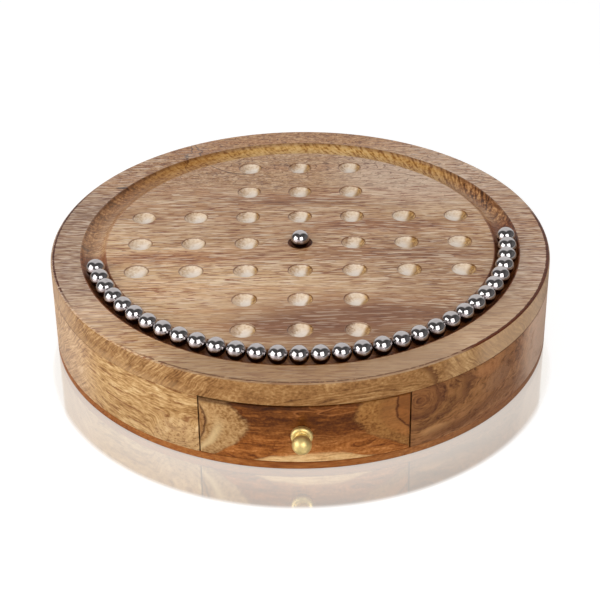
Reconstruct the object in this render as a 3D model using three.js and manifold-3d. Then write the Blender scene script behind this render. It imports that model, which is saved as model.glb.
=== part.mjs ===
// Round peg solitaire board in wood, with steel balls as its pegs and a storage drawer.
// A turned top with a ball groove and 33 dimples is glued on a case block, a thin base panel is
// screwed on below, and a drawer with a brass knob runs in the block's pocket.
// Millimetres, +Z up. The origin is on the underside at the disc's centre; the drawer faces -Y.

import * as THREE from 'three';
import { mergeVertices, toCreasedNormals } from 'three/addons/utils/BufferGeometryUtils.js';
import Module from 'manifold-3d';

const wasm = await Module();
wasm.setup();

// The disc and its three layers
const boardRadius = 127;
const baseThickness = 4;
const caseThickness = 32;
const topThickness = 12;
const glueLine = 0.15;
const topEdgeRadius = 1.6;
const baseEdgeRadius = 0.8;
const cutOverrun = 0.5;

// Balls, and the seats that are cut for them
const ballDiameter = 9.525;
const ballSeatGap = 0.3;
const ballSpacingGap = 0.355;
const ballsInGroove = 32;
const trainMiddleAngle = THREE.MathUtils.degToRad(7.74);
const rimWidth = 15.6;
const grooveDepth = 3.5;
const grooveRoomAroundBall = 2.13;
const deckMargin = 13.23;
const dimpleDepth = 3;
const dimpleRoomAroundBall = 3.24;

// Pocket of the case block, and the drawer that runs in it
const pocketWidth = 98.6;
const pocketShift = 1.7;
const pocketCornerRadius = 3;
const drawerLength = 150;
const drawerGap = 0.5;
const drawerTopGap = 0.8;
const drawerRunningGap = 0.3;
const drawerFrontEndThickness = 7.5;
const drawerSideThickness = 6;
const drawerSideHeight = 26;
const drawerRebateDepth = 4;
const drawerBottomThickness = 3;
const drawerBottomHeight = 2;
const panelGrooveDepth = 2.5;
const panelGap = 0.2;

// Knob and its screw, a little beside the middle of the drawer
const knobShift = -1.4;
const knobFlangeRadius = 5.3;
const knobFlangeThickness = 2.8;
const knobFlangeEdge = 1.5;
const knobNeckRadius = 3.1;
const knobHeadRadius = 4.6;
const knobProjection = 12.2;
const knobScrewRadius = 1.75;
const knobScrewHeadRadius = 3.5;
const knobScrewHeadHeight = 2.2;
const knobScrewReach = 6;
const screwGap = 0.3;

// Countersunk screws of the base panel
const baseScrewCount = 6;
const baseScrewEdgeMargin = 13;
const baseScrewFrontAngle = THREE.MathUtils.degToRad(40);
const baseScrewHeadRadius = 3.5;
const baseScrewShankRadius = 1.75;
const baseScrewLength = 16;
const baseScrewTipLength = 3;
const baseScrewSink = 0.4;
const recessWidth = 1;
const recessReach = 3.6;
const recessDepth = 1.4;

// Facets round each form
const boardSides = 88;
const grooveSteps = 7;
const edgeSteps = 3;
const smallEdgeSteps = 2;
const dimpleSides = 14;
const dimpleSteps = 3;
const ballDetail = 2;
const knobSides = 18;
const knobHeadSteps = 6;
const screwSides = 12;
const creaseAngle = THREE.MathUtils.degToRad(35);

// Levels and places that follow from the sizes above
const caseBottomZ = baseThickness + glueLine;
const topBoardBottomZ = baseThickness + caseThickness + glueLine;
const topBoardZ = baseThickness + caseThickness + topThickness;
const caseTopZ = baseThickness + caseThickness;
const ballRadius = ballDiameter / 2;
const grooveCutterRadius = ballRadius + grooveRoomAroundBall;
const grooveHalfWidth = Math.sqrt(grooveDepth * (2 * grooveCutterRadius - grooveDepth));
const grooveCentreRadius = boardRadius - rimWidth - grooveHalfWidth;
const deckRadius = grooveCentreRadius - grooveHalfWidth;
const holePitch = (deckRadius - deckMargin) / Math.hypot(3, 1);
const dimpleCutterRadius = ballRadius + dimpleRoomAroundBall;
const drawerWidth = pocketWidth - 2 * drawerGap;
const drawerBackY = drawerLength - boardRadius;
const drawerThinEndX = Math.abs(pocketShift) + drawerWidth / 2;
const drawerInnerY = frontEdgeY(drawerThinEndX) + drawerFrontEndThickness;
const drawerFrontThickness = boardRadius + drawerInnerY;
const drawerFloorZ = baseThickness + drawerRunningGap;
const drawerFrontHeight = caseThickness - drawerRunningGap - drawerTopGap;
const drawerPanelZ = drawerFloorZ + drawerBottomHeight;
const knobX = pocketShift + knobShift;
const knobZ = baseThickness + caseThickness / 2;
const knobSeatY = -boardRadius - glueLine;

// Turns a closed geometry into a solid that can be joined and cut.
function toSolid(geometry) {
  const bare = geometry.clone();
  bare.deleteAttribute('normal');
  bare.deleteAttribute('uv');
  const merged = mergeVertices(bare);
  const index = merged.index.array;
  const kept = [];
  for (let i = 0; i < index.length; i += 3) {
    const [a, b, c] = [index[i], index[i + 1], index[i + 2]];
    if (a !== b && b !== c && c !== a) kept.push(a, b, c);
  }
  return new wasm.Manifold(new wasm.Mesh({
    numProp: 3,
    vertProperties: Float32Array.from(merged.attributes.position.array),
    triVerts: Uint32Array.from(kept),
  }));
}

// Turns a solid back into a geometry, smooth on its round faces and creased at its edges.
function toGeometry(solid) {
  const mesh = solid.getMesh();
  const geometry = new THREE.BufferGeometry();
  geometry.setAttribute('position', new THREE.BufferAttribute(mesh.vertProperties, 3));
  geometry.setIndex(new THREE.BufferAttribute(mesh.triVerts, 1));
  return toCreasedNormals(geometry, creaseAngle);
}

// Cuts every cutter out of a geometry.
function carve(geometry, cutters) {
  let solid = toSolid(geometry);
  for (const cutter of cutters) solid = solid.subtract(toSolid(cutter));
  return toGeometry(solid);
}

// Points along a circular arc, both ends included.
function arc(centreX, centreY, radius, start, end, steps) {
  const points = [];
  for (let i = 0; i <= steps; i += 1) {
    const angle = start + (end - start) * (i / steps);
    points.push(new THREE.Vector2(
      centreX + radius * Math.cos(angle),
      centreY + radius * Math.sin(angle),
    ));
  }
  return points;
}

// Revolves a profile of (radius, height) points round the Z axis.
function revolve(profile, sides) {
  return new THREE.LatheGeometry(profile, sides).rotateX(Math.PI / 2);
}

// Extrudes a plan outline upwards from one level to another.
function slab(outline, bottomZ, topZ) {
  const settings = { depth: topZ - bottomZ, bevelEnabled: false };
  return new THREE.ExtrudeGeometry(new THREE.Shape(outline), settings).translate(0, 0, bottomZ);
}

// A block between two corners.
function block(x0, x1, y0, y1, z0, z1) {
  return new THREE.BoxGeometry(x1 - x0, y1 - y0, z1 - z0)
    .translate((x0 + x1) / 2, (y0 + y1) / 2, (z0 + z1) / 2);
}

// The cross recess of a screw, sunk from the plane z = 0 towards +Z.
function crossRecess() {
  const long = recessReach / 2;
  const short = recessWidth / 2;
  return [
    block(-long, long, -short, short, -cutOverrun, recessDepth),
    block(-short, short, -long, long, -cutOverrun, recessDepth),
  ];
}

// Y of the disc's edge on the drawer's side, at a given X.
function frontEdgeY(x) {
  return -Math.sqrt(boardRadius ** 2 - x ** 2);
}

// Angle round the Z axis of the disc's edge on the drawer's side, at a given X.
function frontEdgeAngle(x) {
  return Math.atan2(frontEdgeY(x), x);
}

// The 33 places of the English cross, row by row.
function crossPlaces() {
  const places = [];
  for (let row = -3; row <= 3; row += 1) {
    for (let column = -3; column <= 3; column += 1) {
      const onCross = Math.abs(row) <= 1 || Math.abs(column) <= 1;
      if (onCross) places.push([column * holePitch, row * holePitch]);
    }
  }
  return places;
}

// A spherical cutter whose lowest point is the dimple's bottom.
function dimpleCutter(x, y) {
  const centreZ = topBoardZ - dimpleDepth + dimpleCutterRadius;
  const reach = Math.acos((dimpleCutterRadius - dimpleDepth - cutOverrun) / dimpleCutterRadius);
  const profile = arc(0, centreZ, dimpleCutterRadius, -Math.PI / 2, reach - Math.PI / 2, dimpleSteps);
  profile.push(new THREE.Vector2(0, topBoardZ + cutOverrun));
  return revolve(profile, dimpleSides).translate(x, y, 0);
}

// Top board: rounded outer edge, flat rim, round-bottomed groove and a flat deck with dimples.
function topBoard() {
  const grooveCentreZ = topBoardZ - grooveDepth + grooveCutterRadius;
  const grooveReach = Math.acos((grooveCutterRadius - grooveDepth) / grooveCutterRadius);
  const edgeX = boardRadius - topEdgeRadius;
  const edgeZ = topBoardZ - topEdgeRadius;
  const profile = [
    new THREE.Vector2(0, topBoardBottomZ),
    new THREE.Vector2(boardRadius, topBoardBottomZ),
    ...arc(edgeX, edgeZ, topEdgeRadius, 0, Math.PI / 2, edgeSteps),
    ...arc(
      grooveCentreRadius, grooveCentreZ, grooveCutterRadius,
      grooveReach - Math.PI / 2, -grooveReach - Math.PI / 2, grooveSteps,
    ),
    new THREE.Vector2(0, topBoardZ),
  ];
  return carve(revolve(profile, boardSides), crossPlaces().map(([x, y]) => dimpleCutter(x, y)));
}

// Plan outline of the case block: the disc less the drawer's pocket, which is open to the front.
function caseOutline() {
  const left = pocketShift - pocketWidth / 2;
  const right = pocketShift + pocketWidth / 2;
  const back = drawerBackY + drawerGap;
  const corner = pocketCornerRadius;
  return [
    ...arc(0, 0, boardRadius, frontEdgeAngle(right), frontEdgeAngle(left) + 2 * Math.PI, boardSides),
    ...arc(left + corner, back - corner, corner, Math.PI, Math.PI / 2, edgeSteps),
    ...arc(right - corner, back - corner, corner, Math.PI / 2, 0, edgeSteps),
  ];
}

// Places of the base screws, spread round the disc and clear of the drawer's pocket.
function baseScrewPlaces() {
  const places = [];
  const circleRadius = boardRadius - baseScrewEdgeMargin;
  const sweep = 2 * (Math.PI - baseScrewFrontAngle);
  for (let i = 0; i < baseScrewCount; i += 1) {
    const angle = baseScrewFrontAngle + sweep * (i / (baseScrewCount - 1)) - Math.PI / 2;
    places.push([circleRadius * Math.cos(angle), circleRadius * Math.sin(angle)]);
  }
  return places;
}

// Case block: a solid disc with the pocket, and a blind pilot hole above each base screw.
function caseBody() {
  const pilotRadius = baseScrewShankRadius + screwGap;
  const pilotTop = baseScrewSink + baseScrewLength + screwGap;
  const pilots = baseScrewPlaces().map(([x, y]) => revolve([
    new THREE.Vector2(0, caseBottomZ - cutOverrun),
    new THREE.Vector2(pilotRadius, caseBottomZ - cutOverrun),
    new THREE.Vector2(pilotRadius, pilotTop),
    new THREE.Vector2(0, pilotTop),
  ], screwSides).translate(x, y, 0));
  return carve(slab(caseOutline(), caseBottomZ, caseTopZ), pilots);
}

// Cutter for one countersunk hole: the screw's head and shank with their clearance.
function countersink(x, y) {
  const holeRadius = baseScrewShankRadius + screwGap;
  const coneOffset = screwGap * Math.SQRT2;
  const mouthRadius = baseScrewHeadRadius + coneOffset + baseScrewSink + cutOverrun;
  return revolve([
    new THREE.Vector2(0, -cutOverrun),
    new THREE.Vector2(mouthRadius, -cutOverrun),
    new THREE.Vector2(holeRadius, mouthRadius - holeRadius - cutOverrun),
    new THREE.Vector2(holeRadius, baseThickness + cutOverrun),
    new THREE.Vector2(0, baseThickness + cutOverrun),
  ], screwSides).translate(x, y, 0);
}

// Base panel: a thin disc with an eased lower edge and countersunk holes.
function basePanel() {
  const edgeX = boardRadius - baseEdgeRadius;
  const profile = [
    new THREE.Vector2(0, 0),
    ...arc(edgeX, baseEdgeRadius, baseEdgeRadius, -Math.PI / 2, 0, smallEdgeSteps),
    new THREE.Vector2(boardRadius, baseThickness),
    new THREE.Vector2(0, baseThickness),
  ];
  return carve(revolve(profile, boardSides), baseScrewPlaces().map(([x, y]) => countersink(x, y)));
}

// Countersunk screw with its head just below the underside, pointing up.
function baseScrew() {
  const headHeight = baseScrewHeadRadius - baseScrewShankRadius;
  const profile = [
    new THREE.Vector2(0, 0),
    new THREE.Vector2(baseScrewHeadRadius, 0),
    new THREE.Vector2(baseScrewShankRadius, headHeight),
    new THREE.Vector2(baseScrewShankRadius, baseScrewLength - baseScrewTipLength),
    new THREE.Vector2(0, baseScrewLength),
  ];
  return carve(revolve(profile, screwSides), crossRecess());
}

// Drawer front: its face continues the disc's round side, its back is flat, its ends are
// rebated for the sides, and a groove holds the bottom panel.
function drawerFront() {
  const left = pocketShift - drawerWidth / 2;
  const right = pocketShift + drawerWidth / 2;
  const rebateY = drawerInnerY - drawerRebateDepth;
  const outline = [
    ...arc(0, 0, boardRadius, frontEdgeAngle(left), frontEdgeAngle(right), boardSides / 4),
    new THREE.Vector2(right, rebateY),
    new THREE.Vector2(right - drawerSideThickness, rebateY),
    new THREE.Vector2(right - drawerSideThickness, drawerInnerY),
    new THREE.Vector2(left + drawerSideThickness, drawerInnerY),
    new THREE.Vector2(left + drawerSideThickness, rebateY),
    new THREE.Vector2(left, rebateY),
  ];
  const panelGroove = block(
    left, right, drawerInnerY - panelGrooveDepth, drawerInnerY + cutOverrun,
    drawerPanelZ - panelGap, drawerPanelZ + drawerBottomThickness + panelGap,
  );
  const holeRadius = knobScrewRadius + screwGap;
  const holeLength = 2 * drawerFrontThickness + cutOverrun;
  const knobHole = new THREE.CylinderGeometry(holeRadius, holeRadius, holeLength, screwSides)
    .translate(knobX, drawerInnerY, knobZ);
  return carve(slab(outline, drawerFloorZ, drawerFloorZ + drawerFrontHeight), [panelGroove, knobHole]);
}

// Drawer side, seated in the front's rebate, with a rounded rear edge and the panel's groove.
// A hand of -1 makes the left side, and of 1 the right one.
function drawerSide(hand) {
  const corner = pocketCornerRadius - drawerGap;
  const outer = drawerWidth / 2;
  const inner = outer - drawerSideThickness + glueLine;
  const frontY = drawerInnerY - drawerRebateDepth + glueLine;
  const outline = [
    new THREE.Vector2(inner, frontY),
    new THREE.Vector2(outer, frontY),
    ...arc(outer - corner, drawerBackY - corner, corner, 0, Math.PI / 2, edgeSteps),
    new THREE.Vector2(inner, drawerBackY),
  ].map((point) => new THREE.Vector2(pocketShift + hand * point.x, point.y));
  const grooveEdge = pocketShift + hand * (outer - drawerSideThickness + panelGrooveDepth);
  const grooveMouth = pocketShift + hand * (inner - cutOverrun);
  const panelGroove = block(
    Math.min(grooveEdge, grooveMouth), Math.max(grooveEdge, grooveMouth),
    frontY - cutOverrun, drawerBackY + cutOverrun,
    drawerPanelZ - panelGap, drawerPanelZ + drawerBottomThickness + panelGap,
  );
  return carve(slab(outline, drawerFloorZ, drawerFloorZ + drawerSideHeight), [panelGroove]);
}

// Drawer back, between the sides and on top of the bottom panel.
function drawerBack() {
  const halfWidth = drawerWidth / 2 - drawerSideThickness;
  return block(
    pocketShift - halfWidth, pocketShift + halfWidth, drawerBackY - drawerSideThickness, drawerBackY,
    drawerPanelZ + drawerBottomThickness + panelGap, drawerFloorZ + drawerSideHeight,
  );
}

// Drawer bottom: a thin panel held in the grooves of the front and the sides.
function drawerBottom() {
  const halfWidth = drawerWidth / 2 - drawerSideThickness + panelGrooveDepth - panelGap;
  return block(
    pocketShift - halfWidth, pocketShift + halfWidth,
    drawerInnerY - panelGrooveDepth + panelGap, drawerBackY,
    drawerPanelZ, drawerPanelZ + drawerBottomThickness,
  );
}

// Knob: a round flange, a short neck and a ball head, with a blind hole for its screw.
// Its axis is Z here, with the head upwards.
function knob() {
  const holeRadius = knobScrewRadius + screwGap;
  const holeDepth = knobScrewReach + screwGap;
  const headCentre = knobProjection - knobHeadRadius;
  const headStart = -Math.acos(knobNeckRadius / knobHeadRadius);
  return revolve([
    new THREE.Vector2(0, holeDepth),
    new THREE.Vector2(holeRadius, holeDepth),
    new THREE.Vector2(holeRadius, 0),
    new THREE.Vector2(knobFlangeRadius, 0),
    ...arc(
      knobFlangeRadius - knobFlangeEdge, knobFlangeThickness - knobFlangeEdge, knobFlangeEdge,
      0, Math.PI / 2, edgeSteps,
    ),
    new THREE.Vector2(knobNeckRadius, knobFlangeThickness),
    ...arc(0, headCentre, knobHeadRadius, headStart, Math.PI / 2, knobHeadSteps),
  ], knobSides);
}

// Pan-head screw of the knob: its head is inside the drawer and its shank points up here.
function knobScrew() {
  const shankLength = drawerFrontThickness + knobScrewReach;
  const crown = knobScrewHeadHeight / 2;
  return carve(revolve([
    new THREE.Vector2(0, 0),
    new THREE.Vector2(knobScrewHeadRadius - crown, 0),
    new THREE.Vector2(knobScrewHeadRadius, crown),
    new THREE.Vector2(knobScrewHeadRadius, knobScrewHeadHeight),
    new THREE.Vector2(knobScrewRadius, knobScrewHeadHeight),
    new THREE.Vector2(knobScrewRadius, knobScrewHeadHeight + shankLength),
    new THREE.Vector2(0, knobScrewHeadHeight + shankLength),
  ], screwSides), crossRecess());
}

// One ball, turned so that a vertex is its lowest point and the opposite one its highest.
function ball() {
  const goldenRatio = (1 + Math.sqrt(5)) / 2;
  return new THREE.IcosahedronGeometry(ballRadius, ballDetail).rotateX(-Math.atan2(1, goldenRatio));
}

const finish = {
  topWood: new THREE.MeshStandardMaterial({ color: 0xb39372, roughness: 0.6, metalness: 0 }),
  sideWood: new THREE.MeshStandardMaterial({ color: 0xa8733f, roughness: 0.45, metalness: 0 }),
  drawerFrontWood: new THREE.MeshStandardMaterial({ color: 0x7d4a22, roughness: 0.45, metalness: 0 }),
  baseWood: new THREE.MeshStandardMaterial({ color: 0x8f5a34, roughness: 0.55, metalness: 0 }),
  drawerWood: new THREE.MeshStandardMaterial({ color: 0xc9a77a, roughness: 0.65, metalness: 0 }),
  brass: new THREE.MeshStandardMaterial({ color: 0xc8a45a, roughness: 0.3, metalness: 1 }),
  screwSteel: new THREE.MeshStandardMaterial({ color: 0xa9a9a6, roughness: 0.4, metalness: 1 }),
  ballSteel: new THREE.MeshStandardMaterial({ color: 0xc4c6c9, roughness: 0.08, metalness: 1 }),
};

// Adds a named piece to a group and returns it, so that it can be placed.
function addPiece(group, name, geometry, material) {
  const mesh = new THREE.Mesh(geometry, material);
  mesh.name = name;
  group.add(mesh);
  return mesh;
}

// The case: top board, block, base panel and its screws.
function makeCase() {
  const group = new THREE.Group();
  addPiece(group, 'top_board', topBoard(), finish.topWood);
  addPiece(group, 'case_body', caseBody(), finish.sideWood);
  addPiece(group, 'base_panel', basePanel(), finish.baseWood);
  baseScrewPlaces().forEach(([x, y], i) => {
    addPiece(group, `base_screw_${i + 1}`, baseScrew(), finish.screwSteel)
      .position.set(x, y, baseScrewSink);
  });
  return group;
}

// The drawer: front, two sides, back, bottom panel, and the knob with its screw.
function makeDrawer() {
  const group = new THREE.Group();
  addPiece(group, 'drawer_front', drawerFront(), finish.drawerFrontWood);
  addPiece(group, 'drawer_side_left', drawerSide(-1), finish.drawerWood);
  addPiece(group, 'drawer_side_right', drawerSide(1), finish.drawerWood);
  addPiece(group, 'drawer_back', drawerBack(), finish.drawerWood);
  addPiece(group, 'drawer_bottom', drawerBottom(), finish.drawerWood);

  const knobMesh = addPiece(group, 'knob', knob(), finish.brass);
  knobMesh.rotation.x = Math.PI / 2;
  knobMesh.position.set(knobX, knobSeatY, knobZ);

  const screwMesh = addPiece(group, 'knob_screw', knobScrew(), finish.screwSteel);
  screwMesh.rotation.x = Math.PI / 2;
  screwMesh.position.set(knobX, drawerInnerY + glueLine + knobScrewHeadHeight, knobZ);
  return group;
}

// The balls: one in the centre dimple, and the rest in a train along the groove.
function makeBalls() {
  const group = new THREE.Group();
  const centreZ = topBoardZ - dimpleDepth + ballSeatGap + ballRadius;
  addPiece(group, 'ball_center', ball(), finish.ballSteel).position.set(0, 0, centreZ);

  const grooveZ = topBoardZ - grooveDepth + ballSeatGap + ballRadius;
  const step = 2 * Math.asin((ballDiameter + ballSpacingGap) / (2 * grooveCentreRadius));
  for (let i = 0; i < ballsInGroove; i += 1) {
    const angle = trainMiddleAngle + (i - (ballsInGroove - 1) / 2) * step - Math.PI / 2;
    const name = `ball_${String(i + 1).padStart(2, '0')}`;
    addPiece(group, name, ball(), finish.ballSteel).position.set(
      grooveCentreRadius * Math.cos(angle),
      grooveCentreRadius * Math.sin(angle),
      grooveZ,
    );
  }
  return group;
}

const board = new THREE.Group();
board.add(makeCase(), makeDrawer(), makeBalls());

export default board;
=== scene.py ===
# Looks of a round wooden peg solitaire board with steel balls and a drawer.
# Lengths are in millimetres until a mesh or a light is made, and metres from there on.

import math
import random

import bmesh
import bpy
import numpy as np
from mathutils import Matrix, Vector
from mathutils.geometry import delaunay_2d_cdt


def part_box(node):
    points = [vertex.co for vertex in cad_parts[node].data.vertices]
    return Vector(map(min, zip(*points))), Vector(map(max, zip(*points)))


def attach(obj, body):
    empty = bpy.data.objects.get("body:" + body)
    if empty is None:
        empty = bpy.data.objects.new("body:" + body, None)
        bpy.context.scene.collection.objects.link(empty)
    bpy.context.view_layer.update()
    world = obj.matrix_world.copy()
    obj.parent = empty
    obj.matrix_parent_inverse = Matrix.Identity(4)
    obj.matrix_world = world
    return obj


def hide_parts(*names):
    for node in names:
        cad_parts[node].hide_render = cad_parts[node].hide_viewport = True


MM = 0.001

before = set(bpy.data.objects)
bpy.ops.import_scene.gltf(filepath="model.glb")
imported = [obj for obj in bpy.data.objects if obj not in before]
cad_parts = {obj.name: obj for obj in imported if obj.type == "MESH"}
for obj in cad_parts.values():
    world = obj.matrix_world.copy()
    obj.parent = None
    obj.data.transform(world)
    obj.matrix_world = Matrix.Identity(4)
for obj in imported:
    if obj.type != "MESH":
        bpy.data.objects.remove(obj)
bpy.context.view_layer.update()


def box_mm(node):
    """Lowest and highest corner of a CAD node, in millimetres."""
    low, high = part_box(node)
    return low / MM, high / MM


TOP_LOW, TOP_HIGH = box_mm("top_board")
CASE_LOW, CASE_HIGH = box_mm("case_body")
BASE_HIGH = box_mm("base_panel")[1]
FRONT_LOW, FRONT_HIGH = box_mm("drawer_front")
KNOB_LOW, KNOB_HIGH = box_mm("knob")
BALL_NODES = sorted(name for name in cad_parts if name.startswith("ball_"))
SCREW_NODES = sorted(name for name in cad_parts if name.startswith("base_screw_"))

# Sizes that follow the frame
BOARD_RADIUS = TOP_HIGH.x
TOP_Z = TOP_HIGH.z
FLOOR_GAP = 0.03
BALL_RADIUS = (box_mm(BALL_NODES[0])[1].z - box_mm(BALL_NODES[0])[0].z) / 2

# Turned forms of the top board
TOP_EDGE_RADIUS = 1.6
SEAM_EASE = 0.06
RIM_WIDTH = 15.6
GROOVE_DEPTH = 3.5
GROOVE_ROOM_RADIUS = BALL_RADIUS + 2.13
GROOVE_HALF_WIDTH = math.sqrt(GROOVE_DEPTH * (2 * GROOVE_ROOM_RADIUS - GROOVE_DEPTH))
GROOVE_LIP = 0.6
DECK_MARGIN = 13.23
DIMPLE_DEPTH = 3.0
DIMPLE_ROOM_RADIUS = BALL_RADIUS + 3.24
DIMPLE_LIP = 0.35
LIP_SUPPORT = 0.25
GROOVE_MIDDLE = BOARD_RADIUS - RIM_WIDTH - GROOVE_HALF_WIDTH
GROOVE_EDGE = GROOVE_MIDDLE + GROOVE_HALF_WIDTH
HOLE_PITCH = (GROOVE_MIDDLE - GROOVE_HALF_WIDTH - DECK_MARGIN) / math.hypot(3, 1)

# Case, base panel and drawer
POCKET_GAP = 0.5
POCKET_CORNER = 3.0
BASE_EASE = 0.8
CORNER_EASE = 0.6
DRAWER_EASE = 0.3
REBATE_DEPTH = 4.0
PANEL_GROOVE_DEPTH = 2.5
PANEL_GAP = 0.2
SCREW_GAP = 0.3
SHANK_RADIUS = 1.75
HOLE_RADIUS = SHANK_RADIUS + SCREW_GAP
MOUTH_EASE = 0.15

# Sides that meet below this cosine are left as they are
NEARLY_STRAIGHT = -0.9

# Steps round each form
ROUND_SIDES = 256
DIMPLE_SIDES = 48
SCREW_SIDES = 40
FRONT_STEPS = 96
KNOB_SIDES = 96

# Reach of the floor's mirror image towards the front
MIRROR_SHIFT = 29.0

# The photograph's view
LENS_MM = 104.09
SENSOR_MM = 36.0
VIEW_DISTANCE = 6.6241 * BOARD_RADIUS
VIEW_ELEVATION = math.radians(32.135)
VIEW_YAW = math.radians(-0.2577)
VIEW_ROLL = math.radians(-0.6626)
VIEW_TARGET = Vector((-0.0009 * BOARD_RADIUS, -0.43578 * BOARD_RADIUS, TOP_Z))


def linear(red, green, blue):
    """A colour of 0 to 255 in sRGB, as Blender's linear RGBA."""
    def channel(value):
        share = value / 255
        return share / 12.92 if share <= 0.04045 else ((share + 0.055) / 1.055) ** 2.4
    return channel(red), channel(green), channel(blue), 1.0


def operator(operation, swapped=False):
    """A method of Value that works through one Math node."""
    def method(value, *others):
        values = (*others, value) if swapped else (value, *others)
        return value.shader.math(operation, *values)
    return method


class Value:
    """A number or a colour that a node gives, so that sums of nodes read as plain sums."""

    def __init__(self, shader, socket):
        self.shader = shader
        self.socket = socket

    __add__, __radd__ = operator("ADD"), operator("ADD", swapped=True)
    __sub__, __rsub__ = operator("SUBTRACT"), operator("SUBTRACT", swapped=True)
    __mul__, __rmul__ = operator("MULTIPLY"), operator("MULTIPLY", swapped=True)
    __truediv__ = operator("DIVIDE")
    abs, root = operator("ABSOLUTE"), operator("SQRT")
    at_least, at_most = operator("MAXIMUM"), operator("MINIMUM")

    def __neg__(self):
        return self * -1.0

    def squared(self):
        return self * self

    def swing(self, reach):
        """Noise of 0 to 1 as a swing about zero."""
        return (self - 0.5) * reach

    def step(self, start, end, low=0.0, high=1.0, kind="SMOOTHSTEP"):
        """Runs from low to high while the value goes from start to end."""
        if start > end:
            start, end, low, high = end, start, high, low
        values = (self, start, end, low, high)
        return self.shader.result("MapRange", values, interpolation_type=kind)

    def line(self, middle, width):
        """A soft line of 1 where the value is near the middle, and 0 away from it."""
        return (self - middle).abs().step(width, 0.0)

    def between(self, start, end, soft):
        """1 from start to end, fading out over the soft length on either side."""
        return self.step(start - soft, start) * self.step(end + soft, end)

    def ramp(self, *stops):
        """A colour that follows the value. The stops are a position and a colour in turn."""
        node = self.shader.add("ValToRGB", [self])
        elements = node.color_ramp.elements
        while len(elements) < len(stops) / 2:
            elements.new(0.5)
        for element, position, colour in zip(elements, stops[::2], stops[1::2]):
            element.position = position
            element.color = linear(*colour)
        return Value(self.shader, node.outputs[0])

    def mix(self, share, other, blend="MIX"):
        """Goes over to another colour by the given share."""
        return self.shader.mix(share, self, other, blend)

    def darken(self, share, tint):
        """Multiplies a colour by a tint, by the given share."""
        return self.mix(share, tint, "MULTIPLY")


class Shader:
    """Builds one material's or world's nodes by short calls, with places in millimetres."""

    def __init__(self, name, world=False):
        self.owner = (bpy.data.worlds if world else bpy.data.materials).new(name)
        self.owner.use_nodes = True
        self.tree = self.owner.node_tree
        self.tree.nodes.clear()
        self.output = self.add("OutputWorld" if world else "OutputMaterial")
        sockets = self.add("TexCoord").outputs
        self.place = sockets["Generated"]
        if not world:
            self.place = self.vector_math("MULTIPLY", sockets["Object"], (1 / MM,) * 3)
        self.x, self.y, self.z = self.parts(self.place)

    def put(self, value, socket):
        """Links a node or its output to a socket, or sets the socket to a plain value."""
        if isinstance(value, bpy.types.Node):
            value = value.outputs[0]
        if isinstance(value, Value):
            value = value.socket
        if isinstance(value, bpy.types.NodeSocket):
            self.tree.links.new(value, socket)
        else:
            socket.default_value = value

    def add(self, kind, values=(), **settings):
        """Adds a node with the given values in its first sockets."""
        node = self.tree.nodes.new("ShaderNode" + kind)
        for key, value in settings.items():
            setattr(node, key, value)
        for value, socket in zip(values, node.inputs):
            self.put(value, socket)
        return node

    def result(self, kind, values=(), output=0, **settings):
        """Adds a node and gives one of its outputs."""
        return Value(self, self.add(kind, values, **settings).outputs[output])

    def math(self, operation, *values):
        return self.result("Math", values, operation=operation)

    def vector_math(self, operation, *values):
        return self.result("VectorMath", values, operation=operation)

    def vector(self, x, y, z):
        return self.result("CombineXYZ", (x, y, z))

    def parts(self, vector):
        return [Value(self, socket) for socket in self.add("SeparateXYZ", [vector]).outputs]

    def radius(self):
        """Distance from the board's axis."""
        return length(self.x, self.y)

    def turn(self):
        """Angle round the board's axis from its front, positive towards +X."""
        return self.math("ARCTAN2", self.x, -self.y)

    def blots(self, size, shift, place, **settings):
        """A noise node whose blots have the given size along each axis."""
        sizes = (size,) * 3 if isinstance(size, (int, float)) else size
        node = self.add("Mapping", [place or self.place, shift])
        node.inputs["Scale"].default_value = [1 / step for step in sizes]
        blots = self.add("TexNoise", [node])
        blots.inputs["Scale"].default_value = 1.0
        for name, value in settings.items():
            blots.inputs[name.capitalize()].default_value = value
        return blots

    def noise(self, size, seed, place=None, detail=2.0, **settings):
        """Noise of 0 to 1."""
        shift = (seed * 7.13, seed * 3.71, seed * 5.37)
        return Value(self, self.blots(size, shift, place, detail=detail, **settings).outputs[0])

    def bent(self, size, amount, seed, place=None):
        """A place that is pushed about by soft noise, by up to about the given amounts."""
        blots = self.blots(size, (seed * 4.19, seed * 6.53, seed * 2.91), place, detail=1.0)
        centred = self.vector_math("SUBTRACT", blots.outputs[1], (0.5,) * 3)
        push = self.vector_math("MULTIPLY", centred, [2 * reach for reach in amount])
        return self.vector_math("ADD", place or self.place, push)

    def blot(self, centre, reach, across=None, along=None):
        """A soft oval of 1 at its centre, fading to 0 at its edge."""
        side = ((across or self.x) - centre[0]) / reach[0]
        rise = ((along or self.y) - centre[1]) / reach[1]
        return (side.squared() + rise.squared()).step(1.0, 0.0)

    def mix(self, share, first, second, blend="MIX"):
        node = self.add("Mix", [share], data_type="RGBA", blend_type=blend)
        for colour, socket in ((first, node.inputs[6]), (second, node.inputs[7])):
            self.put(linear(*colour) if isinstance(colour, tuple) else colour, socket)
        return Value(self, node.outputs[2])

    def surface(self, colour, roughness, height, relief=0.1, **settings):
        """Ends the material in one shader. The relief is the height's full range."""
        bump = self.add("Bump")
        bump.inputs["Distance"].default_value = relief * MM
        self.put(height, bump.inputs["Height"])
        shader = self.add("BsdfPrincipled")
        settings |= {"Base_Color": colour, "Roughness": roughness, "Normal": bump}
        for name, value in settings.items():
            self.put(value, shader.inputs[name.replace("_", " ")])
        self.put(shader, self.output.inputs[0])
        return self.owner


def length(x, y):
    return (x.squared() + y.squared()).root()


# Wood

def side_place(wood):
    """Length round the board's side from its front, positive towards +X, and height."""
    return wood.turn() * BOARD_RADIUS, wood.z


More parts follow.
